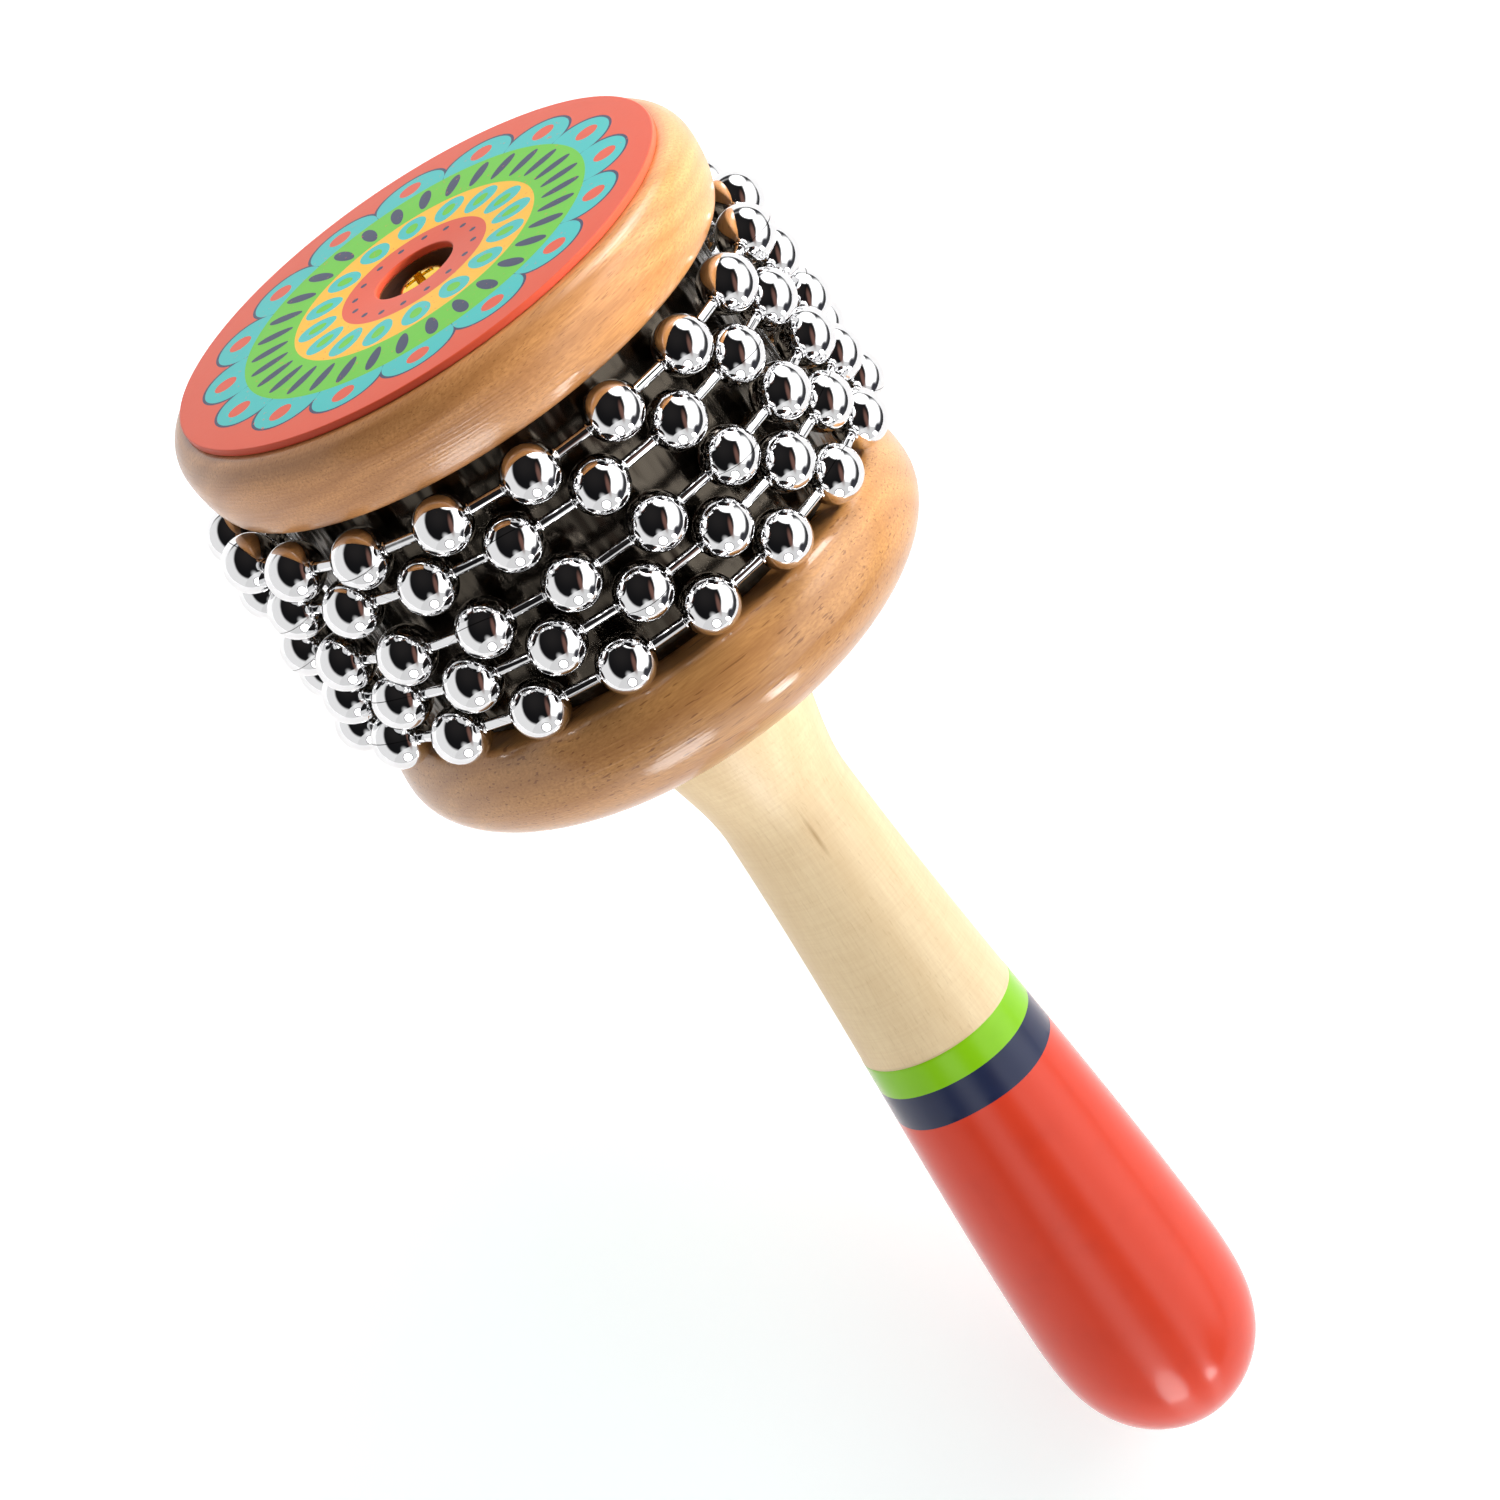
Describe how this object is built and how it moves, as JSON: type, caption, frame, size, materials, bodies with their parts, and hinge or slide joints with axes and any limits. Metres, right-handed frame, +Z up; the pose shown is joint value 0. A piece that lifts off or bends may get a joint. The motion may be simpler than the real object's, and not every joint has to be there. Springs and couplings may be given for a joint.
{
  "type": "cabasa",
  "caption": "Hand percussion cabasa: turned wooden handle and disc head with slack loops of steel ball chain that turn round a steel-sleeved drum.",
  "frame": {"origin": "on the axis, at the middle of the handle's length, where the hand grips it", "axes": "+Z up the axis from the handle to the head; the loops' front, as pictured, faces -Y"},
  "size_m": [0.088, 0.088, 0.2072],
  "materials": {
    "handle_maple": "varnished maple, dipped in red with a navy and a green band",
    "disc_beech": "glossy varnished beech",
    "drum_wood": "raw turned wood, hidden",
    "sleeve_steel": "polished rolled sheet steel",
    "chain_nickel": "nickel-plated ball chain, mirror bright",
    "facing_print": "printed red facing, satin",
    "screw_brass": "bright brass"
  },
  "bodies": {
    "handle_and_head": {"handle": "handle_maple", "lower_disc": "disc_beech", "core_drum": "drum_wood", "steel_sleeve": "sleeve_steel", "upper_disc": "disc_beech", "top_facing": "facing_print", "assembly_screw": "screw_brass"},
    "loop_1": {"chain_1": "chain_nickel"},
    "loop_2": {"chain_2": "chain_nickel"},
    "loop_3": {"chain_3": "chain_nickel"},
    "loop_4": {"chain_4": "chain_nickel"},
    "loop_5": {"chain_5": "chain_nickel"}
  },
  "joints": [
    {"name": "loop_1_turn", "type": "hinge", "parent": "handle_and_head", "child": "loop_1", "pos_m": [0, 0.0022, 0.12122], "axis": [0, 0, 1], "continuous": true},
    {"name": "loop_2_turn", "type": "hinge", "parent": "handle_and_head", "child": "loop_2", "pos_m": [0, 0.0022, 0.11455], "axis": [0, 0, 1], "continuous": true},
    {"name": "loop_3_turn", "type": "hinge", "parent": "handle_and_head", "child": "loop_3", "pos_m": [0, 0.0022, 0.10596], "axis": [0, 0, 1], "continuous": true},
    {"name": "loop_4_turn", "type": "hinge", "parent": "handle_and_head", "child": "loop_4", "pos_m": [0, 0.0022, 0.09941], "axis": [0, 0, 1], "continuous": true},
    {"name": "loop_5_turn", "type": "hinge", "parent": "handle_and_head", "child": "loop_5", "pos_m": [0, 0.0022, 0.0925], "axis": [0, 0, 1], "continuous": true}
  ],
  "couplings": [
    {"joint": "loop_1_turn", "follows": "loop_2_turn", "ratio": 1},
    {"joint": "loop_3_turn", "follows": "loop_4_turn", "ratio": 1},
    {"joint": "loop_5_turn", "follows": "loop_4_turn", "ratio": 1}
  ]
}
